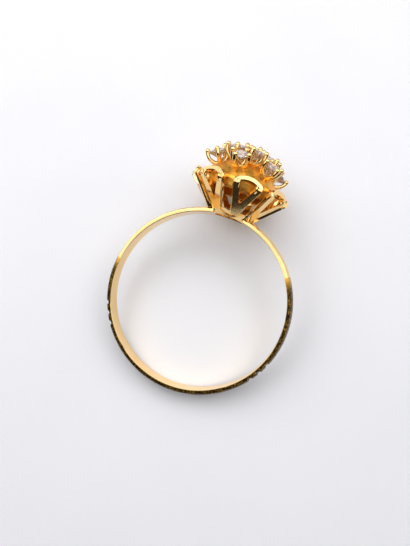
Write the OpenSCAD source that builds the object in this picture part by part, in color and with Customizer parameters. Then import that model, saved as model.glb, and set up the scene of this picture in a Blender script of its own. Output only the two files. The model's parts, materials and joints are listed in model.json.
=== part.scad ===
// Gold cluster ring lying on its side: a plain hoop, a collar, a basket of open
// petals, a dome, and thirteen small round stones in four-prong cups.
// The finger axis leans away from the head, so the ring stands on the low edge of
// its hoop and on one end of a petal's bow.

/* [Shank] */
// Inside diameter of the hoop
finger_d = 17.2; // [16:0.1:20]
// Width of the band along the finger
band_w = 2; // [1.8:0.1:2.8]
// Thickness of the band at its middle
band_t = 0.6; // [0.54:0.02:0.9]
// Thickness of the band at its two edges
edge_t = 0.34; // [0.26:0.02:0.4]
// Depth of the small grooves that end the engraved stretch
groove_depth = 0.14; // [0.08:0.01:0.2]

/* [Collar] */
// Outside diameter of the collar at its top
collar_d = 4.4; // [4.3:0.05:4.5]
// Outside diameter of the collar at the finger
collar_low_d = 3.6; // [3.6:0.05:3.8]
// Height of the collar above the finger
collar_h = 0.85; // [0.7:0.05:1.1]
// Diameter of the opening in the collar
collar_hole_d = 2.8; // [2.6:0.1:3]

/* [Petals] */
// Distance from the head's axis to the foot of a petal
foot_r = 2.1; // [2.05:0.05:2.15]
// Distance from the head's axis to the line between a petal's top corners
corner_r = 4.5; // [4.4:0.02:4.6]
// Height of the petal's top corners above the collar's underside
corner_h = 3.1; // [2.95:0.05:3.3]
// Width of a petal across its top corners
petal_w = 2.7; // [2.6:0.05:2.8]
// Width of a petal's bars
bar_w = 0.62; // [0.5:0.02:0.66]
// Thickness of a petal's bars
bar_t = 0.46; // [0.4:0.02:0.5]
// Height of the bow above the top corners, along its outward lean
bow_h = 0.8; // [0.7:0.05:0.95]
// Bearing of the first petal, turned about the head's axis from the finger axis
petal_bearing = 16; // [13:1:17]

/* [Dome] */
// Outside radius of the dome that carries the cups
dome_r = 4.3; // [4.25:0.05:4.4]
// Thickness of the dome
dome_t = 0.4; // [0.3:0.02:0.5]
// Height of the lower edge of the dome's skirt
skirt_low = 2.6; // [2.5:0.05:2.75]
// Outside radius of the skirt at its lower edge
skirt_r = 3.62; // [3.54:0.02:3.66]

/* [Stones] */
// Diameter of a stone
stone_d = 1.64; // [1.5:0.02:1.7]
// Gap between a stone and its prongs
stone_gap = 0.03; // [0.02:0.005:0.04]
// Thickness of a prong's wire
wire_t = 0.4; // [0.34:0.02:0.42]
// Distance of the inner stones from the head's axis
inner_r = 2.06; // [2.04:0.01:2.12]
// Distance of the outer stones from the head's axis
outer_r = 3.28; // [3.26:0.01:3.36]

/* [Hidden] */
$fn = 64;

finger_r = finger_d / 2;
band_r = finger_r + band_t;
crown_sag = band_t - edge_t;
bore_cut = 0.2;
crown_r = (band_w * band_w / 4 + crown_sag * crown_sag) / (2 * crown_sag);
shank_gap_half = 11.5;
groove_r = 0.26;
groove_angles = [55, 61.5, 68];

// The collar's underside is cut to the finger, so it starts a little inside the hoop
base_y = 8.35 * finger_r / 8.6;

foot_h = 0.6;
foot_w = 0.7;
petal_count = 8;
petal_step = 360 / petal_count;
petal_slope = atan2(corner_h - foot_h, corner_r - foot_r);
petal_len = norm([corner_r - foot_r, corner_h - foot_h]);
window_low = petal_len * 0.38;
arm_lean = atan2(petal_w / 2 - foot_w / 2, petal_len);
bar_across = bar_w / cos(arm_lean);
bow_lean = 25;
bow_r = 2.2;
bow_bar = bar_w * 0.72;
bow_foot = 0.12;
bow_side_h = bow_h - bow_r + sqrt(bow_r * bow_r - petal_w * petal_w / 4);
tab_rise = 0.45;
tab_inner_r = 3.65;

// The outer end of a bow's arch, which touches the surface that the ring lies on
tip_r = corner_r + bar_t / 2 * cos(bow_lean) + bow_side_h * sin(bow_lean);
tip_h = corner_h - bar_t / 2 * sin(bow_lean) + bow_side_h * cos(bow_lean);
tip_angle = atan2(petal_w / 2, tip_r);
tip_drop = norm([tip_r, petal_w / 2]) * cos(petal_bearing - tip_angle);

dome_top = 5.88;
skirt_flare = 0.3;

stone_r = stone_d / 2;
table_r = stone_r * 0.56;
crown_h = stone_d * 0.15;
girdle_h = stone_d * 0.02;
pavilion_h = stone_d * 0.43;
cup_r = stone_r + 0.14;
cup_h = 0.15;
tip_ball_r = 0.25;
tip_ball_h = 0.22;
tip_ball_x = cup_r + wire_t / 2 - tip_ball_r;

// Distance, height, lean, first bearing and prong turn of each set of stones
centre_place = [0, 7.08, 0, 0, 45];
inner_place = [inner_r, 6.62, 15, 21, 45];
outer_place = [outer_r, 5.73, 32, -9, 77];
ring_stones = 6;

// The ring leans until the hoop's low edge and the bow's end lie at one height
edge_r = finger_r + edge_t;
lean = atan2(tip_drop - band_w / 2, base_y + tip_h + edge_r);
rest_z = edge_r * sin(lean) + band_w / 2 * cos(lean);
front_y = (base_y + centre_place[1] + tip_ball_h) * cos(lean)
    + tip_ball_x * sin(centre_place[4]) * sin(lean) + tip_ball_r;
back_y = -(band_r - crown_r) * cos(lean) - crown_r;
rest_y = -(front_y + back_y) / 2;

module laid() {
    translate([0, rest_y, rest_z]) rotate([lean, 0, 0]) children();
}

// Up the head's axis is +Z here, and a bearing of 0 points along the finger axis
module in_head() {
    rotate([-90, 0, 0]) translate([0, 0, base_y]) children();
}

module at_bearing(bearing) {
    rotate([0, 0, bearing - 90]) children();
}

module band_section() {
    intersection() {
        translate([band_r - crown_r, 0]) circle(crown_r);
        translate([finger_r - bore_cut, -band_w / 2]) square([band_t + bore_cut, band_w]);
    }
}

module grooves() {
    for (side = [-1, 1], angle = groove_angles)
        rotate([0, 0, -90 + side * angle])
            translate([band_r + groove_r - groove_depth, 0, 0])
                cylinder(r = groove_r, h = band_w + 1, center = true);
}

module shank() {
    difference() {
        rotate([0, 0, 90 + shank_gap_half])
            rotate_extrude(angle = 360 - 2 * shank_gap_half, $fn = 180) band_section();
        grooves();
    }
}

module collar() {
    cylinder(d1 = collar_low_d, d2 = collar_d, h = collar_h);
}

module collar_hole() {
    translate([0, 0, -1]) cylinder(d = collar_hole_d, h = collar_h + 1.5);
}

module petal_arms() {
    polygon([
        [-foot_w / 2, 0], [-petal_w / 2, petal_len],
        [-petal_w / 2 + bar_across, petal_len], [0, window_low],
        [petal_w / 2 - bar_across, petal_len], [petal_w / 2, petal_len],
        [foot_w / 2, 0]]);
}

// A flat arch between two upright sides
module bow_outline(width, radius) {
    intersection() {
        translate([0, bow_h - bow_r]) circle(radius);
        translate([-width / 2, -bow_r]) square([width, 3 * bow_r]);
    }
}

module petal_bow() {
    intersection() {
        difference() {
            bow_outline(petal_w, bow_r);
            bow_outline(petal_w - 2 * bow_bar, bow_r - bow_bar);
        }
        translate([-petal_w, -bow_foot]) square([2 * petal_w, 2 * bow_h]);
    }
}

// A flat plate whose outline runs outward and up at the given slope
module sloped(slope) {
    rotate([0, -slope, 0]) rotate([0, 0, -90])
        linear_extrude(height = bar_t, center = true) children();
}

// The tab bends inward from a petal's corner and is soldered to the dome
module corner_tab(side) {
    corner_a = atan2(petal_w / 2 - bar_w / 2, corner_r);
    corner_reach = norm([petal_w / 2 - bar_w / 2, corner_r]);
    tab_len = corner_reach - tab_inner_r;
    rotate([0, 0, side * corner_a])
        translate([tab_inner_r, -bar_w / 2, corner_h + tab_rise])
            rotate([0, atan2(tab_rise, tab_len), 0])
                translate([0, 0, -bar_t / 2]) cube([tab_len + 0.1, bar_w, bar_t]);
}

module petal() {
    translate([foot_r, 0, foot_h]) sloped(petal_slope) petal_arms();
    translate([corner_r, 0, corner_h]) sloped(90 - bow_lean) petal_bow();
    for (side = [-1, 1]) corner_tab(side);
}

module petals() {
    for (k = [0 : petal_count - 1])
        at_bearing(petal_bearing + k * petal_step) petal();
}

// The inset is 0 for the outside of the dome, and the metal's thickness for its inside
module dome_form(inset) {
    intersection() {
        translate([0, 0, dome_top - dome_r]) sphere(dome_r - inset);
        translate([0, 0, skirt_low - inset])
            cylinder(r1 = skirt_r - inset, r2 = skirt_r - inset + 4 * skirt_flare, h = 4);
    }
}

// A round cap on a skirt that narrows a little towards the basket
module dome() {
    difference() {
        dome_form(0);
        dome_form(dome_t);
    }
}

// The wires of a cup are one turned U, cut down to two crossing straps
module cup_section() {
    intersection() {
        translate([0, -cup_h]) difference() {
            circle(cup_r + wire_t / 2);
            circle(cup_r - wire_t / 2);
        }
        translate([0, -cup_h - 4]) square([4, 4]);
    }
    translate([cup_r - wire_t / 2, -cup_h - 0.01])
        square([wire_t, cup_h + tip_ball_h + 0.01]);
    translate([tip_ball_x, tip_ball_h]) circle(tip_ball_r);
}

module stone_room() {
    rotate_extrude() polygon([
        [0, -pavilion_h - stone_gap * 2],
        [stone_r + stone_gap, -girdle_h - stone_gap],
        [stone_r + stone_gap, girdle_h + stone_gap],
        [table_r + stone_gap, crown_h + stone_gap],
        [0, crown_h + stone_gap]]);
}

module cup(prong_turn) {
    difference() {
        intersection() {
            rotate_extrude() cup_section();
            union() {
                for (turn = [0, 90])
                    rotate([0, 0, prong_turn + turn])
                        translate([0, 0, -0.5]) cube([4, wire_t, 3], center = true);
            }
        }
        stone_room();
    }
}

// Puts a cup or a stone at its place, turned on by its share of the circle
module at_place(place, index) {
    at_bearing(place[3] + index * 360 / ring_stones)
        translate([place[0], 0, place[1]]) rotate([0, place[2], 0]) children();
}

module cups() {
    at_place(centre_place, 0) cup(centre_place[4]);
    for (place = [inner_place, outer_place], k = [0 : ring_stones - 1])
        at_place(place, k) cup(place[4]);
}

// One cut through the hoop and the collar leaves the space for the finger
module hoop_and_basket() {
    difference() {
        union() {
            shank();
            in_head() {
                collar();
                petals();
            }
        }
        in_head() collar_hole();
        cylinder(r = finger_r, h = 4 * band_w, center = true, $fn = 180);
    }
}

module ring_mount() {
    color("gold") laid() {
        hoop_and_basket();
        in_head() {
            dome();
            cups();
        }
    }
}

function ring_points(radius, height, count, offset) =
    [for (k = [0 : count - 1])
        let (a = (k + offset) * 360 / count) [radius * cos(a), radius * sin(a), height]];

// A round brilliant: octagonal table, eight kites, stars and girdle facets, and a pavilion.
// The kites are flat, so the heights of the two middle rows follow from their radii.
module brilliant() {
    mid_r = stone_r * 0.78;
    mid_h = crown_h - (mid_r * cos(22.5) - table_r) * (crown_h - girdle_h) / (stone_r - table_r);
    low_r = stone_r * 0.32;
    low_h = -pavilion_h + low_r * cos(22.5) * (pavilion_h - girdle_h) / stone_r;
    table = ring_points(table_r, crown_h, 8, 0);
    middle = ring_points(mid_r, mid_h, 8, 0.5);
    girdle_top = ring_points(stone_r, girdle_h, 16, 0);
    girdle_low = ring_points(stone_r, -girdle_h, 16, 0);
    low = ring_points(low_r, low_h, 8, 0.5);
    // First numbers of the rows in the list of points
    m = 8;
    gt = 16;
    gl = 32;
    lo = 48;
    culet = 56;
    polyhedron(
        points = concat(table, middle, girdle_top, girdle_low, low, [[0, 0, -pavilion_h]]),
        faces = concat(
            [[7, 6, 5, 4, 3, 2, 1, 0]],
            [for (k = [0 : 7]) [k, (k + 1) % 8, m + k]],
            [for (k = [0 : 7]) [k, m + k, gt + 2 * k, m + (k + 7) % 8]],
            [for (k = [0 : 7]) [m + k, gt + 2 * k + 1, gt + 2 * k]],
            [for (k = [0 : 7]) [m + k, gt + (2 * k + 2) % 16, gt + 2 * k + 1]],
            [for (k = [0 : 15]) [gt + k, gt + (k + 1) % 16, gl + (k + 1) % 16, gl + k]],
            [for (k = [0 : 7]) [lo + k, gl + 2 * k, gl + 2 * k + 1]],
            [for (k = [0 : 7]) [lo + k, gl + 2 * k + 1, gl + (2 * k + 2) % 16]],
            [for (k = [0 : 7]) [culet, lo + (k + 7) % 8, gl + 2 * k, lo + k]]));
}

module stone(place, index) {
    color("lavenderblush") laid() in_head() at_place(place, index) brilliant();
}

ring_mount();
stone(centre_place, 0);  // centre_stone
stone(inner_place, 0);  // inner_stone_1
stone(inner_place, 1);  // inner_stone_2
stone(inner_place, 2);  // inner_stone_3
stone(inner_place, 3);  // inner_stone_4
stone(inner_place, 4);  // inner_stone_5
stone(inner_place, 5);  // inner_stone_6
stone(outer_place, 0);  // outer_stone_1
stone(outer_place, 1);  // outer_stone_2
stone(outer_place, 2);  // outer_stone_3
stone(outer_place, 3);  // outer_stone_4
stone(outer_place, 4);  // outer_stone_5
stone(outer_place, 5);  // outer_stone_6
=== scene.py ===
import json
import math

import bmesh
import bpy
from mathutils import Euler, Matrix, Vector


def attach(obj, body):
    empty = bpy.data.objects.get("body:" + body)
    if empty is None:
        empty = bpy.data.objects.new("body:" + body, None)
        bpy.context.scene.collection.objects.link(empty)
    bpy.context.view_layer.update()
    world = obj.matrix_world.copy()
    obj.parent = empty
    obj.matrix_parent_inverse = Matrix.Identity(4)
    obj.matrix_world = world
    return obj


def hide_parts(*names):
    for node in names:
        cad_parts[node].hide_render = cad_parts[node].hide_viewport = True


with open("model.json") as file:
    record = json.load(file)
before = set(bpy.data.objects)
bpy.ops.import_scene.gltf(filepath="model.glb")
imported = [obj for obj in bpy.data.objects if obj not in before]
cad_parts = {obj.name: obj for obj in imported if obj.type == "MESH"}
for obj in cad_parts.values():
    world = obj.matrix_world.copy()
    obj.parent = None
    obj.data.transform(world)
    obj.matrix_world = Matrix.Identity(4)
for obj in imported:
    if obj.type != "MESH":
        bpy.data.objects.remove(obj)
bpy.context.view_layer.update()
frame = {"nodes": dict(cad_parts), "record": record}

mm = 0.001       # sizes in the settings are in millimetres, and angles in degrees
bore = frame["record"]["mounts"][0]
hoopInside = bore["dims"]["r_mm"]      # radius of the finger space

# the ring frame: finger axis up Z, head up +Y, origin in the middle of the hoop
lean = math.atan2(-bore["axis"][1], bore["axis"][2])
ringPlace = Matrix.Translation(bore["pos_m"]) @ Matrix.Rotation(lean, 4, "X")
# the head frame: Z runs up the head from just under its collar, and bearings round the
# head start from the finger axis, its -Y
headFoot = 8.35
headPlace = ringPlace @ Matrix.Translation((0, headFoot * mm, 0)) @ Matrix.Rotation(-math.pi / 2, 4, "X")


def linear(hexColour):
    channels = [int(hexColour[i:i + 2], 16) / 255 for i in (1, 3, 5)]
    return [c / 12.92 if c <= 0.04045 else ((c + 0.055) / 1.055) ** 2.4 for c in channels] + [1]


def addNode(tree, kind, inputs=None, **settings):
    made = tree.nodes.new(kind)
    for name, value in settings.items():
        setattr(made, name, value)
    for socket, value in (inputs or {}).items():
        if isinstance(value, bpy.types.NodeSocket):
            tree.links.new(value, made.inputs[socket])
        else:
            made.inputs[socket].default_value = value
    return made


def newMaterial(name):
    material = bpy.data.materials.new(name)
    material.use_nodes = True
    material.node_tree.nodes.clear()
    return material, material.node_tree


# 18 carat yellow gold, cast, then polished on a wheel: warm, mirror-like, with faint
# wheel lines and a little unevenness in the shine
polish = {
    "light": "#FFE6B0",
    "deep": "#F7C670",
    "cloudScale": 420,        # cloudy changes of tone about 2.4 mm across
    "lineScale": 9000,        # wheel lines about 0.1 mm apart
    "lineStretch": 0.12,      # and drawn out eight times along Z
    "roughLow": 0.05,
    "roughHigh": 0.14,
    "bump": 0.05,
}


def polishedGold():
    material, tree = newMaterial("polishedYellowGold")
    place = addNode(tree, "ShaderNodeTexCoord").outputs["Object"]
    cloud = addNode(tree, "ShaderNodeTexNoise",
                    {"Vector": place, "Scale": polish["cloudScale"], "Detail": 3})
    tone = addNode(tree, "ShaderNodeMix", {"Factor": cloud.outputs["Fac"], 6: linear(polish["deep"]),
                                           7: linear(polish["light"])}, data_type="RGBA")
    stretched = addNode(tree, "ShaderNodeMapping",
                        {"Vector": place, "Scale": (1, 1, polish["lineStretch"])})
    lines = addNode(tree, "ShaderNodeTexNoise",
                    {"Vector": stretched.outputs["Vector"], "Scale": polish["lineScale"], "Detail": 2})
    rough = addNode(tree, "ShaderNodeMapRange",
                    {"Value": cloud.outputs["Fac"], "From Min": 0.3, "From Max": 0.7,
                     "To Min": polish["roughLow"], "To Max": polish["roughHigh"]})
    bump = addNode(tree, "ShaderNodeBump",
                   {"Height": lines.outputs["Fac"], "Strength": polish["bump"], "Distance": 0.02 * mm})
    metal = addNode(tree, "ShaderNodeBsdfPrincipled",
                    {"Base Color": tone.outputs[2], "Metallic": 1, "Roughness": rough.outputs["Result"],
                     "Normal": bump.outputs["Normal"]})
    addNode(tree, "ShaderNodeOutputMaterial", {"Surface": metal.outputs["BSDF"]})
    return material


# the same gold where a graver has cut it: bright on the ridges, and darkened over the whole stretch
# and most in the cuts, partly by old polish and dirt and partly by painted shade and a painted dark
# reflection, so the stretch looks dark olive from a little way off; the grain's brighter specks are
# painted glints
graven = {
    "ridge": "#DDAA48",
    # the colour in the cuts, dark with dirt and with painted shade
    "cut": "#261B06",
    "grainScale": 7400,       # burr and dirt about 0.13 mm across, its brighter specks painted glints
    "dirtAndShadeFrom": 0.36,         # grain values between which the dirt and painted shade set in
    "dirtTo": 0.52,
    "dirtAndShadeLeast": 0.4,
    "dirtAndShadeMost": 1.5,
    "roughRidge": 0.18,
    "roughCut": 0.45,
    "bump": 0.35,
}


def engravedGold():
    material, tree = newMaterial("engravedYellowGold")
    place = addNode(tree, "ShaderNodeTexCoord").outputs["Object"]
    # how far dirt and painted shade darken each spot, from the hoop's tree
    cut = addNode(tree, "ShaderNodeAttribute", attribute_name="cut").outputs["Fac"]
    grain = addNode(tree, "ShaderNodeTexNoise",
                    {"Vector": place, "Scale": graven["grainScale"], "Detail": 4})
    grainShare = addNode(tree, "ShaderNodeMapRange",
                         {"Value": grain.outputs["Fac"],
                          "From Min": graven["dirtAndShadeFrom"], "From Max": graven["dirtTo"],
                          "To Min": graven["dirtAndShadeLeast"], "To Max": graven["dirtAndShadeMost"]})
    # dirt and painted shade, broken by the grain into painted glints
    dirt = addNode(tree, "ShaderNodeMath", {0: cut, 1: grainShare.outputs["Result"]},
                   operation="MULTIPLY", use_clamp=True)
    tone = addNode(tree, "ShaderNodeMix", {"Factor": dirt.outputs[0], 6: linear(graven["ridge"]),
                                           7: linear(graven["cut"])}, data_type="RGBA")
    rough = addNode(tree, "ShaderNodeMapRange",
                    {"Value": dirt.outputs[0], "To Min": graven["roughRidge"],
                     "To Max": graven["roughCut"]})
    bump = addNode(tree, "ShaderNodeBump",
                   {"Height": grain.outputs["Fac"], "Strength": graven["bump"], "Distance": 0.03 * mm})
    metal = addNode(tree, "ShaderNodeBsdfPrincipled",
                    {"Base Color": tone.outputs[2], "Metallic": 1, "Roughness": rough.outputs["Result"],
                     "Normal": bump.outputs["Normal"]})
    addNode(tree, "ShaderNodeOutputMaterial", {"Surface": metal.outputs["BSDF"]})
    return material


# the dome is left as it was cast and pickled: a softer, deeper orange shine with small pits
asCast = {
    "light": "#FFCC60",
    "deep": "#F2A236",
    "grainScale": 2600,       # pits about 0.4 mm across
    "rough": (0.26, 0.5),
    "bump": 0.8,
}


def castGold():
    material, tree = newMaterial("castYellowGold")
    place = addNode(tree, "ShaderNodeTexCoord").outputs["Object"]
    grain = addNode(tree, "ShaderNodeTexNoise",
                    {"Vector": place, "Scale": asCast["grainScale"], "Detail": 5, "Roughness": 0.6})
    tone = addNode(tree, "ShaderNodeMix", {"Factor": grain.outputs["Fac"], 6: linear(asCast["deep"]),
                                           7: linear(asCast["light"])}, data_type="RGBA")
    rough = addNode(tree, "ShaderNodeMapRange",
                    {"Value": grain.outputs["Fac"], "From Min": 0.35, "From Max": 0.65,
                     "To Min": asCast["rough"][0], "To Max": asCast["rough"][1]})
    bump = addNode(tree, "ShaderNodeBump",
                   {"Height": grain.outputs["Fac"], "Strength": asCast["bump"], "Distance": 0.06 * mm})
    metal = addNode(tree, "ShaderNodeBsdfPrincipled",
                    {"Base Color": tone.outputs[2], "Metallic": 1, "Roughness": rough.outputs["Result"],
                     "Normal": bump.outputs["Normal"]})
    addNode(tree, "ShaderNodeOutputMaterial", {"Surface": metal.outputs["BSDF"]})
    return material


# small brilliants: clear, very faintly warm, with polishing marks on the facets
stoneLook = {
    "clear": "#FFFBF6",
    "warm": "#FFE6DE",
    "veilScale": 2600,        # the two tones change over about 0.4 mm
    "letThrough": 0.7,        # the rest glows white, as small stones do in bright light
    "ior": 2.42,
    "rough": 0.0,
    "bump": 0.02,
}


def brilliantStone():
    material, tree = newMaterial("cutAndPolishedClearStone")
    place = addNode(tree, "ShaderNodeTexCoord").outputs["Object"]
    veil = addNode(tree, "ShaderNodeTexNoise",
                   {"Vector": place, "Scale": stoneLook["veilScale"], "Detail": 2})
    tone = addNode(tree, "ShaderNodeMix", {"Factor": veil.outputs["Fac"], 6: linear(stoneLook["clear"]),
                                           7: linear(stoneLook["warm"])}, data_type="RGBA")
    bump = addNode(tree, "ShaderNodeBump",
                   {"Height": veil.outputs["Fac"], "Strength": stoneLook["bump"], "Distance": 0.01 * mm})
    glass = addNode(tree, "ShaderNodeBsdfPrincipled",
                    {"Base Color": tone.outputs[2], "Transmission Weight": stoneLook["letThrough"],
                     "Roughness": stoneLook["rough"], "IOR": stoneLook["ior"],
                     "Normal": bump.outputs["Normal"]})
    addNode(tree, "ShaderNodeOutputMaterial", {"Surface": glass.outputs["BSDF"]})
    return material


gold = polishedGold()
goldCut = engravedGold()
goldCast = castGold()
stone = brilliantStone()
print("materials made")


def newObject(name, mesh):
    made = bpy.data.objects.new(name, mesh)
    bpy.context.scene.collection.objects.link(made)
    return made


def meshFrom(name, points, faces):
    mesh = bpy.data.meshes.new(name)
    mesh.from_pydata(points, [], faces)
    mesh.update()
    return mesh


# a closed loop of (radius, height) points turned round Z
def turned(name, loop, steps):
    points = []
    for k in range(steps):
        a = 2 * math.pi * k / steps
        points += [(r * math.cos(a) * mm, r * math.sin(a) * mm, h * mm) for r, h in loop]
    n = len(loop)
    faces = [(k * n + i, (k + 1) % steps * n + i, (k + 1) % steps * n + (i + 1) % n, k * n + (i + 1) % n)
             for k in range(steps) for i in range(n)]
    return meshFrom(name, points, faces)


# a flat strap along a path; across says which way its width lies
def strap(path, across, width, thick, chamfer):
    w, t, c = width / 2, thick / 2, chamfer
    section = [(w, t - c), (w - c, t), (c - w, t), (-w, t - c),
               (-w, c - t), (c - w, -t), (w - c, -t), (w, c - t)]
    points = []
    for i, p in enumerate(path):
        ahead = (path[min(i + 1, len(path) - 1)] - path[max(i - 1, 0)]).normalized()
        side = (across[i] - ahead * across[i].dot(ahead)).normalized()
        out = ahead.cross(side)
        points += [p + side * x + out * y for x, y in section]
    n = len(section)
    faces = [(k * n + i, k * n + (i + 1) % n, (k + 1) * n + (i + 1) % n, (k + 1) * n + i)
             for k in range(len(path) - 1) for i in range(n)]
    faces += [tuple(reversed(range(n))), tuple(range((len(path) - 1) * n, len(path) * n))]
    return points, faces


# a smooth curve through given points
def smoothPath(knots, steps):
    knots = [Vector(k) for k in knots]
    ends = [knots[0] * 2 - knots[1]] + knots + [knots[-1] * 2 - knots[-2]]
    path = []
    for i in range(1, len(ends) - 2):
        a, b, c, d = ends[i - 1:i + 3]
        for s in range(steps):
            t = s / steps
            path.append(0.5 * (2 * b + (c - a) * t + (2 * a - 5 * b + 4 * c - d) * t * t
                               + (3 * b - a - 3 * c + d) * t ** 3))
    return path + [knots[-1]]


def joined(name, pieces):
    points, faces = [], []
    for piecePoints, pieceFaces in pieces:
        start = len(points)
        points += [tuple(p * mm) for p in piecePoints]
        faces += [tuple(i + start for i in f) for f in pieceFaces]
    mesh = meshFrom(name, points, faces)
    tidyNormals(mesh)
    return mesh


def tidyNormals(mesh):
    work = bmesh.new()
    work.from_mesh(mesh)
    bmesh.ops.recalc_face_normals(work, faces=work.faces)
    work.to_mesh(mesh)
    work.free()


# polished edges catch the light softly; only real corners stay sharp
def softEdges(mesh, angle):
    for f in mesh.polygons:
        f.use_smooth = True
    mesh.set_sharp_from_angle(angle=math.radians(angle))


# a Geometry Nodes tree with named inputs after its geometry
def newTree(name, sockets):
    tree = bpy.data.node_groups.new(name, "GeometryNodeTree")
    tree.interface.new_socket("Geometry", in_out="INPUT", socket_type="NodeSocketGeometry")
    for label, kind in sockets:
        tree.interface.new_socket(label, in_out="INPUT", socket_type="NodeSocket" + kind)
    tree.interface.new_socket("Geometry", in_out="OUTPUT", socket_type="NodeSocketGeometry")
    return tree, addNode(tree, "NodeGroupInput").outputs


def endTree(tree, geometry, material):
    real = addNode(tree, "GeometryNodeRealizeInstances", {"Geometry": geometry})
    painted = addNode(tree, "GeometryNodeSetMaterial",
                      {"Geometry": real.outputs[0], "Material": material})
    addNode(tree, "NodeGroupOutput", {"Geometry": painted.outputs[0]})


# runs a tree on a carrier mesh and keeps the result as a plain mesh in its place
def grown(name, carrier, tree, values, place):
    made = newObject(name, carrier)
    modifier = made.modifiers.new("grow", "NODES")
    modifier.node_group = tree
    for socket in tree.interface.items_tree:
        if socket.item_type == "SOCKET" and socket.in_out == "INPUT" and socket.name in values:
            modifier[socket.identifier] = values[socket.name]
    made.update_tag()
    graph = bpy.context.evaluated_depsgraph_get()
    result = bpy.data.meshes.new_from_object(made.evaluated_get(graph), preserve_all_data_layers=True,
                                             depsgraph=graph)
    made.modifiers.clear()
    if result.materials[0] is None:      # the carrier's own empty slot
        result.materials.pop(index=0)
    made.data = result
    result.name = name
    result.transform(place)
    result.update()
    return made


# hoop: a slim half-round band, engraved from its shoulders round to the back
hoop = {
    "width": 2.0,
    "thick": 0.594,
    "edge": 0.34,             # thickness along the rims, before they are rounded
    "wallPoints": (0.45, 0.2),      # points on the flat inner wall, this far from the rim
    "corner": 0.06,           # radius of the band's two inner corners
    "cornerSteps": 3,
    "rimPoints": (0.33, 0.66),      # points on the rim, as shares of its flat height
    "outerCorner": 0.16,      # radius of the outer corners, worn and polished rounder
    "cornerTurn": 61.0,       # degrees that an outer corner turns through
    "outerSteps": 6,
    "crownSteps": 8,
    "gapHalf": 10.0,          # degrees left open for the collar
    "rings": 1500,
    "wallShare": 0.06,        # share of the thickness that stays bare next to the finger
    "wallGain": 9.0,          # and how fast the cuts set in past it
    "engravedLeft": -98.0,    # degrees from the back of the hoop
    "engravedRight": 125.0,
    "fade": 9.0,              # degrees over which the graver runs out at either end
    "engravedFrom": 0.02,     # where the engraved finish takes over from the polished one
    "dirtAndShadeBase": 0.55,         # dirt and painted shade between the cuts, where 1 is the dirt and painted shade in them
    "cutPitch": 0.34,
    "cutDepth": 0.045,
    "cutSlant": 0.45,         # how far a cut runs along the band for each mm across it
    "grooves": (55.0, 61.5, 68.0),      # degrees from the back of the hoop, on both sides
    "grooveRadius": 0.26,
    "grooveDepth": 0.14,
}


# half the outline runs up one rim and over the crown; (across the band, out from the finger)
def bandSection():
    half, edge, corner = hoop["width"] / 2, hoop["edge"], hoop["corner"]
    points = [(half - inset, 0) for inset in hoop["wallPoints"]]
    for k in range(hoop["cornerSteps"] + 1):
        a = math.pi / 2 * k / hoop["cornerSteps"]
        points.append((half - corner + corner * math.sin(a), corner - corner * math.cos(a)))

    def crown(x):
        return hoop["thick"] - (hoop["thick"] - edge) * (x / half) ** 2

    # the outer corner ends where it runs on into the crown
    outer, end = hoop["outerCorner"], math.radians(hoop["cornerTurn"])
    crownEdge = half - outer * (1 - math.cos(end))
    rise = crown(crownEdge) - outer * math.sin(end)
    points += [(half, corner + (rise - corner) * t) for t in hoop["rimPoints"]]
    turns = [end * k / hoop["outerSteps"] for k in range(hoop["outerSteps"] + 1)]
    points += [(half - outer + outer * math.cos(a), rise + outer * math.sin(a)) for a in turns]
    inward = [crownEdge * (1 - k / hoop["crownSteps"]) for k in range(1, hoop["crownSteps"])]
    points += [(x, crown(x)) for x in inward]
    return points + [(0, hoop["thick"])] + [(-x, y) for x, y in reversed(points)]


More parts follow.
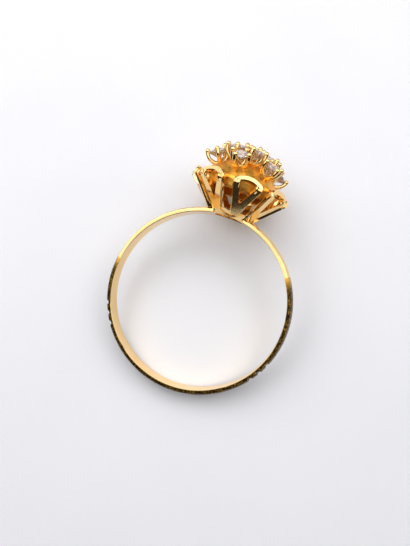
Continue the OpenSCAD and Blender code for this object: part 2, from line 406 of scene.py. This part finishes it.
def hoopTree():
    tree, given = newTree("hoopEngraving", [
        ("Hoop Inside", "Float"), ("Thickness", "Float"), ("Left End", "Float"), ("Right End", "Float"),
        ("Cut Pitch", "Float"), ("Cut Depth", "Float"), ("Cut Slant", "Float"),
        ("Groove Radius", "Float"), ("Groove Depth", "Float"),
        ("Polished", "Material"), ("Engraved", "Material")])

    place = addNode(tree, "ShaderNodeSeparateXYZ",
                    {0: addNode(tree, "GeometryNodeInputPosition").outputs[0]}).outputs
    # what the sums below start from, and then each result under its own name
    found = {"x": place["X"], "y": place["Y"], "z": place["Z"],
             "inside": given["Hoop Inside"], "thick": given["Thickness"],
             "left": given["Left End"], "right": given["Right End"],
             "pitch": given["Cut Pitch"], "cutDepth": given["Cut Depth"], "cutSlant": given["Cut Slant"],
             "grooveRadius": given["Groove Radius"], "grooveDepth": given["Groove Depth"], "grooves": 0.0}
    clamped = ("outside", "leftFade", "rightFade")
    steps = [
        ("xx", "MULTIPLY", "x", "x"), ("yy", "MULTIPLY", "y", "y"), ("rr", "ADD", "xx", "yy"),
        ("reach", "SQRT", "rr"), ("reachMm", "DIVIDE", "reach", mm),
        # degrees from the back of the hoop, and millimetres along its outside
        ("backward", "MULTIPLY", "y", -1.0), ("turned", "ARCTAN2", "x", "backward"),
        ("bearing", "DEGREES", "turned"), ("angle", "RADIANS", "bearing"),
        ("along", "MULTIPLY", "angle", "reachMm"),
        # 0 on the inner wall, 1 on the rims and the outside
        ("deep", "SUBTRACT", "reach", "inside"), ("share", "DIVIDE", "deep", "thick"),
        ("pastWall", "SUBTRACT", "share", hoop["wallShare"]),
        ("outside", "MULTIPLY", "pastWall", hoop["wallGain"]),
        # the graver runs out over several degrees at either end
        ("fromLeft", "SUBTRACT", "bearing", "left"), ("leftFade", "DIVIDE", "fromLeft", hoop["fade"]),
        ("toRight", "SUBTRACT", "right", "bearing"), ("rightFade", "DIVIDE", "toRight", hoop["fade"]),
        ("inStretch", "MULTIPLY", "leftFade", "rightFade"),
        # slanted cuts that meet in a point at the middle of the band
        ("offMiddle", "ABSOLUTE", "z"), ("offMiddleMm", "DIVIDE", "offMiddle", mm),
        ("slant", "MULTIPLY", "offMiddleMm", "cutSlant"), ("slanted", "ADD", "along", "slant"),
        ("cuts", "DIVIDE", "slanted", "pitch"), ("oneCut", "FRACT", "cuts"),
        ("fromHalf", "SUBTRACT", "oneCut", 0.5), ("away", "ABSOLUTE", "fromHalf"),
        ("twice", "MULTIPLY", 2.0, "away"), ("valley", "SUBTRACT", 1.0, "twice"),
        ("valleyOut", "MULTIPLY", "valley", "outside"), ("cut", "MULTIPLY", "valleyOut", "inStretch"),
        ("cutDeep", "MULTIPLY", "cut", "cutDepth"),
        # what the grooves share
        ("side", "ABSOLUTE", "bearing"), ("grooveSquare", "MULTIPLY", "grooveRadius", "grooveRadius"),
    ]
    for k, centre in enumerate(hoop["grooves"]):
        steps += [
            (f"degrees{k}", "SUBTRACT", "side", centre), (f"radians{k}", "RADIANS", f"degrees{k}"),
            (f"off{k}", "MULTIPLY", f"radians{k}", "reachMm"),
            (f"offSquare{k}", "MULTIPLY", f"off{k}", f"off{k}"),
            (f"left{k}", "SUBTRACT", "grooveSquare", f"offSquare{k}"),
            (f"within{k}", "MAXIMUM", 0.0, f"left{k}"), (f"chord{k}", "SQRT", f"within{k}"),
            (f"below{k}", "SUBTRACT", f"chord{k}", "grooveRadius"),
            (f"sunk{k}", "ADD", f"below{k}", "grooveDepth"),
            (f"groove{k}", "MAXIMUM", 0.0, f"sunk{k}"), ("grooves", "ADD", "grooves", f"groove{k}")]
    steps += [
        ("groovesOut", "MULTIPLY", "grooves", "outside"), ("depth", "ADD", "cutDeep", "groovesOut"),
        ("inward", "MULTIPLY", "depth", -mm),
        # how much dirt and painted shade darken each spot, and which spots count as engraved
        ("valleyDirtAndShade", "MULTIPLY", "valley", 1 - hoop["dirtAndShadeBase"]),
        ("dirt", "ADD", hoop["dirtAndShadeBase"], "valleyDirtAndShade"), ("dirtAndShadeMark", "MULTIPLY", "inStretch", "dirt"),
        ("stretchOut", "MULTIPLY", "inStretch", "outside"),
        ("engraved", "GREATER_THAN", "stretchOut", hoop["engravedFrom"]),
    ]
    for name, operation, *terms in steps:
        found[name] = addNode(tree, "ShaderNodeMath", {i: found.get(t, t) for i, t in enumerate(terms)},
                              operation=operation, use_clamp=name in clamped).outputs[0]
    normal = addNode(tree, "GeometryNodeInputNormal").outputs[0]
    push = addNode(tree, "ShaderNodeVectorMath", {0: normal, "Scale": found["inward"]}, operation="SCALE")
    moved = addNode(tree, "GeometryNodeSetPosition",
                    {"Geometry": given["Geometry"], "Offset": push.outputs[0]})
    # the dirt and painted shade go to the material as the attribute cut
    marked = addNode(tree, "GeometryNodeStoreNamedAttribute",
                     {"Geometry": moved.outputs[0], "Name": "cut", "Value": found["dirtAndShadeMark"]},
                     data_type="FLOAT", domain="POINT")
    painted = addNode(tree, "GeometryNodeSetMaterial",
                      {"Geometry": marked.outputs[0], "Material": given["Polished"]})
    both = addNode(tree, "GeometryNodeSetMaterial",
                   {"Geometry": painted.outputs[0], "Selection": found["engraved"],
                    "Material": given["Engraved"]})
    real = addNode(tree, "GeometryNodeRealizeInstances", {"Geometry": both.outputs[0]})
    addNode(tree, "NodeGroupOutput", {"Geometry": real.outputs[0]})
    return tree


def buildHoop():
    section = bandSection()
    n = len(section)
    start = math.radians(90 + hoop["gapHalf"])
    sweep = math.radians(360 - 2 * hoop["gapHalf"])
    points = []
    for k in range(hoop["rings"] + 1):
        a = start + sweep * k / hoop["rings"]
        points += [((hoopInside + y) * math.cos(a) * mm, (hoopInside + y) * math.sin(a) * mm, x * mm)
                   for x, y in section]
    faces = [(k * n + i, (k + 1) * n + i, (k + 1) * n + (i + 1) % n, k * n + (i + 1) % n)
             for k in range(hoop["rings"]) for i in range(n)]
    faces += [tuple(range(n)), tuple(reversed(range(hoop["rings"] * n, (hoop["rings"] + 1) * n)))]
    band = meshFrom("hoop", points, faces)
    tidyNormals(band)
    return grown("gold_hoop", band, hoopTree(), {
        "Hoop Inside": hoopInside * mm, "Thickness": hoop["thick"] * mm,
        "Left End": hoop["engravedLeft"], "Right End": hoop["engravedRight"],
        "Cut Pitch": hoop["cutPitch"], "Cut Depth": hoop["cutDepth"], "Cut Slant": hoop["cutSlant"],
        "Groove Radius": hoop["grooveRadius"], "Groove Depth": hoop["grooveDepth"],
        "Polished": gold, "Engraved": goldCut}, ringPlace)


# collar: a short turned cup whose underside follows the finger
collar = {
    "low": 1.52,              # radius at the finger
    "high": 2.32,             # radius on top
    "hole": 1.38,             # radius of its opening
    "sunk": 0.3,              # how far it is turned past the finger, to be cut off along it
    "top": 0.85,
    "round": 0.08,
    "steps": 128,
    "sharpFrom": 38.0,        # degrees between faces from which an edge stays sharp
}


def roundedLoop(corners, radius, steps=4):
    loop = []
    for i, corner in enumerate(corners):
        here = Vector(corner)
        back = (Vector(corners[i - 1]) - here).normalized() * radius
        on = (Vector(corners[(i + 1) % len(corners)]) - here).normalized() * radius
        for s in range(steps + 1):
            t = s / steps
            loop.append(tuple(here + back * (1 - t) ** 2 + on * t ** 2))
    return loop


def buildCollar():
    c = collar
    loop = roundedLoop([(c["hole"], -c["sunk"]), (c["low"], -c["sunk"]), (c["low"], 0),
                        (c["high"], c["top"]), (c["hole"], c["top"])], c["round"])
    mesh = turned("gold_collar", loop, c["steps"])
    for v in mesh.vertices:
        finger = (math.sqrt(hoopInside ** 2 - (v.co.x / mm) ** 2) - headFoot) * mm
        v.co.z = max(v.co.z, finger)
    tidyNormals(mesh)
    mesh.transform(headPlace)
    mesh.materials.append(gold)
    softEdges(mesh, c["sharpFrom"])
    return newObject("gold_collar", mesh)


# basket: eight flat petals, each a V with a bow bent in on top and two hooks to the dome
petal = {
    "count": 8,
    "firstBearing": 16.0,     # degrees from the finger axis
    "footRadius": 2.1,
    "footHeight": 0.6,
    "footWidth": 0.7,
    "cornerRadius": 4.5,
    "cornerHeight": 3.1,
    "width": 2.7,             # across the ends of its arms
    "barWidth": 0.62,
    "barThick": 0.46,
    "windowFrom": 0.38,       # share of the petal's length below its window
    "windowTip": 0.1,         # half the width of the window's blunt tip
    "tipRise": 0.08,          # and how far its corners lie above its middle
    "bowHeight": 0.8,
    "bowRadius": 2.2,
    "bowBar": 0.44,
    "bowFoot": 0.12,          # how far the bow starts below the arms' ends
    "bowEase": 0.08,          # how far its arch drops at the arms, to run on into them
    "easePower": 8,           # and how close to the arms it does
    "bowSteps": 14,           # to either side of its middle
    "bowLean": -12.0,         # the bows bend in towards the dome, so they catch the light from above
    "hookBend": ((0.28, -0.3), (0, 0.02), (0.14, 0.22), (0.5, 0.34)),  # inward, up from the arm's end
    "hookRise": 0.45,         # height of its end over the arm's
    "domeReach": 3.72,        # how far out it meets the dome
    "hookThin": 0.9,          # its thickness as a share of the arm's
    "hookSteps": 5,
    "bevel": 0.06,
    "sharpFrom": 22.0,        # degrees between faces from which an edge stays sharp
}


def aroundTree():
    tree, given = newTree("petalsAroundTheHead", [
        ("Petal", "Object"), ("Count", "Int"), ("First Bearing", "Float"), ("Metal", "Material")])
    ring = addNode(tree, "GeometryNodeMeshCircle", {"Vertices": given["Count"], "Radius": 0.0})
    index = addNode(tree, "GeometryNodeInputIndex").outputs[0]
    step = addNode(tree, "ShaderNodeMath", {0: 2 * math.pi, 1: given["Count"]},
                   operation="DIVIDE").outputs[0]
    turn = addNode(tree, "ShaderNodeMath", {0: index, 1: step, 2: given["First Bearing"]},
                   operation="MULTIPLY_ADD").outputs[0]
    spin = addNode(tree, "ShaderNodeCombineXYZ", {"Z": turn})
    one = addNode(tree, "GeometryNodeObjectInfo", {"Object": given["Petal"]})
    placed = addNode(tree, "GeometryNodeInstanceOnPoints",
                     {"Points": ring.outputs[0], "Instance": one.outputs["Geometry"],
                      "Rotation": spin.outputs[0]})
    endTree(tree, placed.outputs[0], given["Metal"])
    return tree


# a flat plate with softened edges, its outline in millimetres
def plate(outline, thick, bevel, place):
    work = bmesh.new()
    low = [work.verts.new((x, y, -thick / 2)) for x, y in outline]
    high = [work.verts.new((x, y, thick / 2)) for x, y in outline]
    work.faces.new(list(reversed(low)))
    work.faces.new(high)
    for i in range(len(outline)):
        j = (i + 1) % len(outline)
        work.faces.new((low[i], low[j], high[j], high[i]))
    bmesh.ops.bevel(work, geom=list(work.edges), offset=bevel, segments=2, profile=0.5, affect="EDGES")
    bmesh.ops.transform(work, matrix=place, verts=work.verts)
    work.verts.index_update()
    points = [v.co.copy() for v in work.verts]
    faces = [tuple(v.index for v in f.verts) for f in work.faces]
    work.free()
    return points, faces


def onePetal():
    p = petal
    half, bar, foot = p["width"] / 2, p["barWidth"], p["footWidth"] / 2
    run, rise = p["cornerRadius"] - p["footRadius"], p["cornerHeight"] - p["footHeight"]
    length = math.hypot(run, rise)
    barAcross = bar / math.cos(math.atan2(half - foot, length))
    arms = [(-foot, 0), (foot, 0), (half, length), (half - barAcross, length),
            (p["windowTip"], length * p["windowFrom"] + p["tipRise"]), (0, length * p["windowFrom"]),
            (-p["windowTip"], length * p["windowFrom"] + p["tipRise"]),
            (barAcross - half, length), (-half, length)]
    flat = Matrix.Rotation(-math.pi / 2, 4, "Z")
    pieces = [plate(arms, p["barThick"], p["bevel"],
                    Matrix.Translation((p["footRadius"], 0, p["footHeight"]))
                    @ Matrix.Rotation(-math.atan2(rise, run), 4, "Y") @ flat)]

    # the bow: up one side, over the arch, down the other
    lean = math.radians(p["bowLean"])
    bowPlace = Matrix.Translation((p["cornerRadius"], 0, p["cornerHeight"])) @ Matrix.Rotation(
        lean - math.pi / 2, 4, "Y") @ flat
    mid = half - p["bowBar"] / 2
    arch = p["bowRadius"] - p["bowBar"] / 2
    line = [(-mid, -p["bowFoot"])]
    for k in range(-p["bowSteps"], p["bowSteps"] + 1):
        x = mid * math.sin(math.pi / 2 * k / p["bowSteps"])
        ease = p["bowEase"] * (abs(x) / mid) ** p["easePower"]
        line.append((x, p["bowHeight"] - p["bowRadius"] + math.sqrt(arch ** 2 - x ** 2) - ease))
    line.append((mid, -p["bowFoot"]))
    path = [bowPlace @ Vector((x, y, 0)) for x, y in line]
    normal = bowPlace.to_3x3() @ Vector((0, 0, 1))
    pieces.append(strap(path, [normal] * len(path), p["barThick"], p["bowBar"], p["bevel"]))

    # the hooks: each arm's end bends inward and up to the dome
    side = half - bar / 2
    reach = math.hypot(side, p["cornerRadius"])
    for way in (-1, 1):
        turn = Matrix.Rotation(way * math.atan2(side, p["cornerRadius"]), 3, "Z")
        bend = [*p["hookBend"], (reach - p["domeReach"], p["hookRise"])]
        path = smoothPath([(reach - inward, 0, p["cornerHeight"] + up) for inward, up in bend],
                          p["hookSteps"])
        across = turn @ Vector((0, 1, 0))
        path = [turn @ v for v in path]
        pieces.append(strap(path, [across] * len(path), bar, p["barThick"] * p["hookThin"], p["bevel"]))
    return joined("petal", pieces)


def buildBasket():
    model = newObject("petalModel", onePetal())
    carrier = meshFrom("basket", [(0, 0, 0)], [])
    made = grown("gold_basket", carrier, aroundTree(), {
        "Petal": model, "Count": petal["count"],
        "First Bearing": math.radians(petal["firstBearing"] - 90), "Metal": gold}, headPlace)
    bpy.data.objects.remove(model)
    softEdges(made.data, petal["sharpFrom"])
    return made


# dome: a round cap on a narrowing skirt, carrying the cups
dome = {
    "radius": 4.3,
    "top": 5.88,
    "thick": 0.4,
    "skirtLow": 2.6,          # height of the skirt's lower edge
    "skirtRadius": 3.62,      # its radius there
    "flare": 0.3,             # and how fast it widens upward
    "steps": 128,
    "arcSteps": 22,
    "skirtSteps": 6,
    "pole": 0.001,            # radius of a pinhole at the top, closed when its points merge
    "merge": 0.002,
}


def domeLine(inset):
    radius, centre = dome["radius"] - inset, dome["top"] - dome["radius"]
    line = []
    for k in range(dome["arcSteps"] + 1):
        a = math.pi / 2 * k / dome["arcSteps"]
        r, h = radius * math.sin(a), centre + radius * math.cos(a)
        skirt = dome["skirtRadius"] - inset + (h - dome["skirtLow"]) * dome["flare"]
        if r > skirt:
            break
        line.append((r, h))
    low = line[-1][1]
    for k in range(1, dome["skirtSteps"] + 1):
        h = low + (dome["skirtLow"] - low) * k / dome["skirtSteps"]
        line.append((dome["skirtRadius"] - inset + (h - dome["skirtLow"]) * dome["flare"], h))
    return line


def buildDome():
    outer, inner = domeLine(0), domeLine(dome["thick"])
    outer[0] = (dome["pole"], outer[0][1])
    inner[0] = (dome["pole"], inner[0][1])
    mesh = turned("gold_dome", outer + list(reversed(inner)), dome["steps"])
    work = bmesh.new()
    work.from_mesh(mesh)
    bmesh.ops.remove_doubles(work, verts=work.verts, dist=dome["merge"] * mm)
    bmesh.ops.recalc_face_normals(work, faces=work.faces)
    work.to_mesh(mesh)
    work.free()
    mesh.transform(headPlace)
    mesh.materials.append(goldCast)
    for f in mesh.polygons:
        f.use_smooth = True
    return newObject("gold_dome", mesh)


# cups: two crossed U wires with a bead on each end, one under every stone
cup = {
    "wireRadius": 0.19,
    "uRadius": 0.97,
    "uHeight": -0.15,
    "tipHeight": 0.2,
    "tipIn": 0.02,            # the prongs' ends lean in over the stone
    "beadRadius": 0.25,
    "sides": 14,
    "beadRings": 8,
    "arcSteps": 24,
    "centre": (0, 7.08, 0, 0, 45),      # distance, height, lean, first bearing, prong turn
    "inner": (2.06, 6.62, 15, 21, 45),
    "outer": (3.28, 5.73, 32, -9, 77),
}


def cupTree():
    tree, given = newTree("cupsOnTheDome", [
        ("Wire", "Object"), ("Wire Radius", "Float"), ("Bead Radius", "Float"), ("Bead Out", "Float"),
        ("Bead Height", "Float"), ("Sides", "Int"), ("Metal", "Material")])
    model = addNode(tree, "GeometryNodeObjectInfo", {"Object": given["Wire"]})
    line = addNode(tree, "GeometryNodeMeshToCurve", {"Mesh": model.outputs["Geometry"]})
    ring = addNode(tree, "GeometryNodeCurvePrimitiveCircle",
                   {"Resolution": given["Sides"], "Radius": given["Wire Radius"]})
    wire = addNode(tree, "GeometryNodeCurveToMesh",
                   {"Curve": line.outputs[0], "Profile Curve": ring.outputs[0], "Fill Caps": True})
    ball = addNode(tree, "GeometryNodeMeshUVSphere",
                   {"Segments": given["Sides"], "Rings": cup["beadRings"], "Radius": given["Bead Radius"]})
    beads = []
    for side in (1.0, -1.0):
        away = addNode(tree, "ShaderNodeMath", {0: given["Bead Out"], 1: side},
                       operation="MULTIPLY").outputs[0]
        spot = addNode(tree, "ShaderNodeCombineXYZ", {"X": away, "Z": given["Bead Height"]})
        beads.append(addNode(tree, "GeometryNodeTransform",
                             {"Geometry": ball.outputs[0], "Translation": spot.outputs[0]}).outputs[0])
    strand = addNode(tree, "GeometryNodeJoinGeometry")
    for piece in [wire.outputs[0]] + beads:
        tree.links.new(piece, strand.inputs[0])
    crossed = addNode(tree, "GeometryNodeJoinGeometry")
    for quarter in (0, math.pi / 2):
        swung = addNode(tree, "GeometryNodeTransform",
                        {"Geometry": strand.outputs[0], "Rotation": (0, 0, quarter)})
        tree.links.new(swung.outputs[0], crossed.inputs[0])
    turn = addNode(tree, "GeometryNodeInputNamedAttribute", {"Name": "turn"}, data_type="FLOAT_VECTOR")
    placed = addNode(tree, "GeometryNodeInstanceOnPoints",
                     {"Points": given["Geometry"], "Instance": crossed.outputs[0],
                      "Rotation": turn.outputs["Attribute"]})
    smooth = addNode(tree, "GeometryNodeSetShadeSmooth", {"Geometry": placed.outputs[0]})
    endTree(tree, smooth.outputs[0], given["Metal"])
    return tree


# where each cup stands in the head frame, as a matrix
def cupPlaces():
    places = []
    for name, count in (("centre", 1), ("inner", 6), ("outer", 6)):
        radius, height, tilt, first, prongs = cup[name]
        for k in range(count):
            spin = Matrix.Rotation(math.radians(first + 360 / count * k - 90), 4, "Z")
            places.append(spin @ Matrix.Translation((radius * mm, 0, height * mm))
                          @ Matrix.Rotation(math.radians(tilt), 4, "Y")
                          @ Matrix.Rotation(math.radians(prongs), 4, "Z"))
    return places


def buildCups():
    c = cup
    path = [(c["uRadius"] - c["tipIn"], 0, c["tipHeight"]), (c["uRadius"], 0, c["tipHeight"] / 2)]
    for k in range(c["arcSteps"] + 1):
        a = math.pi * k / c["arcSteps"]
        path.append((c["uRadius"] * math.cos(a), 0, c["uHeight"] - c["uRadius"] * math.sin(a)))
    path += [(-c["uRadius"], 0, c["tipHeight"] / 2), (c["tipIn"] - c["uRadius"], 0, c["tipHeight"])]
    wireMesh = bpy.data.meshes.new("wire")
    wireMesh.from_pydata([tuple(Vector(p) * mm) for p in path],
                         [(i, i + 1) for i in range(len(path) - 1)], [])
    wire = newObject("wireModel", wireMesh)
    places = cupPlaces()
    carrier = meshFrom("cups", [tuple(p.translation) for p in places], [])
    turns = carrier.attributes.new("turn", "FLOAT_VECTOR", "POINT")
    for k, p in enumerate(places):
        turns.data[k].vector = p.to_euler()
    beadOut = c["uRadius"] + c["wireRadius"] - c["beadRadius"]     # flush with the wire outside
    made = grown("gold_cups", carrier, cupTree(), {
        "Wire": wire, "Wire Radius": c["wireRadius"] * mm, "Bead Radius": c["beadRadius"] * mm,
        "Bead Out": beadOut * mm, "Bead Height": c["tipHeight"] * mm, "Sides": c["sides"],
        "Metal": gold}, headPlace)
    bpy.data.objects.remove(wire)
    return made


pieces = [buildHoop()]
print("hoop made")
pieces += [buildCollar(), buildBasket(), buildDome(), buildCups()]
print("head made")
for piece in pieces:
    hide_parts("ring_mount")
    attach(piece, "root")

for name, node in frame["nodes"].items():
    if name.endswith("stone") or "_stone_" in name:
        node.data.materials.clear()
        node.data.materials.append(stone)
print("stones dressed")


# stand: cotton or silk in a plain weave, with faint clouds of tone
stand = {
    "radius": 62.0,           # wide enough to fill the photo's view
    "white": "#F1F1F6",
    "shade": "#E8E9EF",
    "cloudScale": 60,         # clouds of tone about 17 mm across
    "threadScale": 1050,      # threads about 0.3 mm apart
    "closerWeft": 1.1,        # the weft lies a little closer than the warp
    "bump": 0.14,
}


def clothStand():
    material, tree = newMaterial("whiteCloth")
    place = addNode(tree, "ShaderNodeTexCoord").outputs["Object"]
    warp = addNode(tree, "ShaderNodeTexWave", {"Vector": place, "Scale": stand["threadScale"],
                                               "Distortion": 2.5, "Detail": 3}, bands_direction="X")
    weft = addNode(tree, "ShaderNodeTexWave",
                   {"Vector": place, "Scale": stand["threadScale"] * stand["closerWeft"],
                    "Distortion": 2.5, "Detail": 3}, bands_direction="Y")
    weave = addNode(tree, "ShaderNodeMath", {0: warp.outputs["Fac"], 1: weft.outputs["Fac"]},
                    operation="MAXIMUM")
    cloud = addNode(tree, "ShaderNodeTexNoise", {"Vector": place, "Scale": stand["cloudScale"]})
    tone = addNode(tree, "ShaderNodeMix", {"Factor": cloud.outputs["Fac"], 6: linear(stand["white"]),
                                           7: linear(stand["shade"])}, data_type="RGBA")
    bump = addNode(tree, "ShaderNodeBump",
                   {"Height": weave.outputs[0], "Strength": stand["bump"], "Distance": 0.05 * mm})
    cloth = addNode(tree, "ShaderNodeBsdfPrincipled",
                    {"Base Color": tone.outputs[2], "Roughness": 0.8, "Normal": bump.outputs["Normal"]})
    addNode(tree, "ShaderNodeOutputMaterial", {"Surface": cloth.outputs["BSDF"]})
    reach = stand["radius"] * mm
    edge = [(reach * math.cos(math.radians(a)), reach * math.sin(math.radians(a)), 0)
            for a in range(0, 360, 3)]
    floor = newObject("floor", meshFrom("floor", edge, [tuple(range(len(edge)))]))
    floor.data.materials.append(material)


# name, place in mm, width and height in mm, power in watts
lamps = [
    ("backSoftbox", (-36, 92, 100), (200, 110), 0.05),
    ("rightSoftbox", (150, 90, 110), (110, 200), 0.095),
    ("leftSoftbox", (-145, 40, 100), (150, 200), 0.105),
    ("topSoftbox", (-12, 30, 130), (320, 205), 0.275),
]

# the room beyond the lamps is dark, which gives the petals nearest the eye their brown
surround = {"colour": "#4C443C", "strength": 0.45}


def buildLights():
    for name, place, size, watts in lamps:
        light = bpy.data.lights.new(name, "AREA")
        light.shape = "RECTANGLE"
        light.size, light.size_y = size[0] * mm, size[1] * mm
        light.energy = watts
        lamp = bpy.data.objects.new(name, light)
        lamp.location = Vector(place) * mm
        lamp.rotation_euler = (-lamp.location).to_track_quat("-Z", "Y").to_euler()
        bpy.context.scene.collection.objects.link(lamp)
    world = bpy.data.worlds.new("darkStudio")
    world.use_nodes = True
    sky = world.node_tree.nodes["Background"].inputs
    sky["Color"].default_value = linear(surround["colour"])
    sky["Strength"].default_value = surround["strength"]
    bpy.context.scene.world = world


# the photo looks down nearly along the finger axis; place and turn are in the ring frame
eye = {"place": (7.12, 4.79, 48.29), "turn": (0.81, 9.02, 20.65), "lens": 43.9}


def buildCamera():
    data = bpy.data.cameras.new("photoCamera")
    data.sensor_fit = "HORIZONTAL"
    data.sensor_width = 36
    data.lens = eye["lens"]
    data.clip_start, data.clip_end = 0.001, 5
    camera = bpy.data.objects.new("photoCamera", data)
    turn = Euler([math.radians(a) for a in eye["turn"]]).to_matrix().to_4x4()
    camera.matrix_world = ringPlace @ Matrix.Translation(Vector(eye["place"]) * mm) @ turn
    bpy.context.scene.collection.objects.link(camera)
    bpy.context.scene.camera = camera


clothStand()
buildLights()
buildCamera()
bpy.context.scene.view_settings.view_transform = "Standard"
print("stage set")
